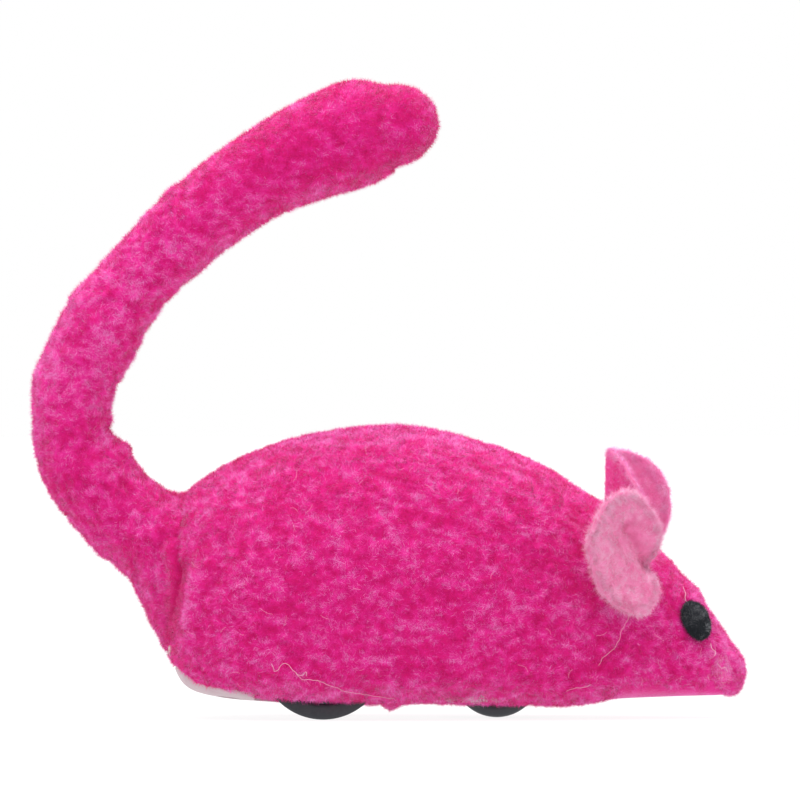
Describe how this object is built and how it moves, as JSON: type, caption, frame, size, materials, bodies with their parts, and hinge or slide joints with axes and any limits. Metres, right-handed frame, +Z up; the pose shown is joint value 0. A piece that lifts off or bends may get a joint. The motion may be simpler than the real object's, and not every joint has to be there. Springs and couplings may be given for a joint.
{
  "type": "clockwork mouse",
  "caption": "Fleece-covered wind-up mouse with felt ears and eyes, a curled wire-cored tail, and a spring motor that drives its rear wheels.",
  "frame": {"origin": "on the floor, under the middle of the bounding box and in the mouse's mid-plane", "axes": "+X towards the nose, +Y to the mouse's left, +Z up"},
  "size_m": [0.0988, 0.0491, 0.088],
  "materials": {
    "fleece": "short napped pile",
    "felt": "matt",
    "wadding": "matt",
    "eye_felt": "matt",
    "white_plastic": "satin",
    "wheel_plastic": "satin",
    "tyre_rubber": "matt",
    "gear_plastic": "satin",
    "plate_steel": "rolled",
    "bright_steel": "bright",
    "spring_steel": "blued"
  },
  "bodies": {
    "chassis": {"fleece_cover": "fleece", "body_shell": "white_plastic", "base_tray": "white_plastic", "ear_right": "felt", "ear_left": "felt", "eye_right": "eye_felt", "eye_left": "eye_felt", "base_screw_rear_right": "bright_steel", "base_screw_rear_left": "bright_steel", "base_screw_front_right": "bright_steel", "base_screw_front_left": "bright_steel", "motor_plate_right": "plate_steel", "motor_plate_left": "plate_steel", "motor_pillar_spring": "bright_steel", "motor_pillar_top_front": "bright_steel", "motor_pillar_rear": "bright_steel", "motor_pillar_front": "bright_steel", "motor_screw_right": "bright_steel", "motor_screw_left": "bright_steel", "mainspring": "spring_steel", "front_axle": "bright_steel", "tail_screw": "bright_steel"},
    "rear_wheels": {"rear_axle": "bright_steel", "axle_pinion": "gear_plastic", "rear_wheel_right": "wheel_plastic", "rear_wheel_left": "wheel_plastic", "rear_tyre_right": "tyre_rubber", "rear_tyre_left": "tyre_rubber"},
    "second": {"second_arbor": "bright_steel", "second_wheel": "gear_plastic", "second_pinion": "gear_plastic"},
    "great": {"great_wheel": "gear_plastic", "click_spring": "spring_steel"},
    "click": {"click": "bright_steel"},
    "winding": {"winding_key": "white_plastic", "winding_arbor": "bright_steel", "ratchet_wheel": "bright_steel"},
    "front_wheel": {"front_wheel": "wheel_plastic"},
    "tail": {"tail_cover": "fleece", "tail_stuffing": "wadding", "tail_wire": "bright_steel"}
  },
  "joints": [
    {"name": "rear_axle_spin", "type": "hinge", "parent": "chassis", "child": "rear_wheels", "pos_m": [-0.009, 0, 0.0087], "axis": [0, 1, 0], "continuous": true},
    {"name": "second_wheel_spin", "type": "hinge", "parent": "chassis", "child": "second", "pos_m": [0.00042, 0, 0.0136], "axis": [0, 1, 0], "continuous": true},
    {"name": "great_wheel_spin", "type": "hinge", "parent": "chassis", "child": "great", "pos_m": [-0.005, 0, 0.025], "axis": [0, 1, 0], "continuous": true},
    {"name": "click_lift", "type": "hinge", "parent": "great", "child": "click", "pos_m": [-0.01226, 0, 0.02641], "axis": [0, 1, 0], "range_deg": [-3, 1.5]},
    {"name": "key_turn", "type": "hinge", "parent": "chassis", "child": "winding", "pos_m": [-0.005, 0, 0.025], "axis": [0, 1, 0], "range_deg": [0, 1800]},
    {"name": "front_wheel_spin", "type": "hinge", "parent": "chassis", "child": "front_wheel", "pos_m": [0.0148, 0, 0.0062], "axis": [0, 1, 0], "continuous": true},
    {"name": "tail_swing", "type": "hinge", "parent": "chassis", "child": "tail", "pos_m": [-0.0305, 0, 0.022], "axis": [0, 0, 1], "range_deg": [-20, 20]}
  ],
  "couplings": [
    {"joint": "second_wheel_spin", "follows": "rear_axle_spin", "ratio": -0.3125},
    {"joint": "great_wheel_spin", "follows": "rear_axle_spin", "ratio": 0.078125}
  ]
}
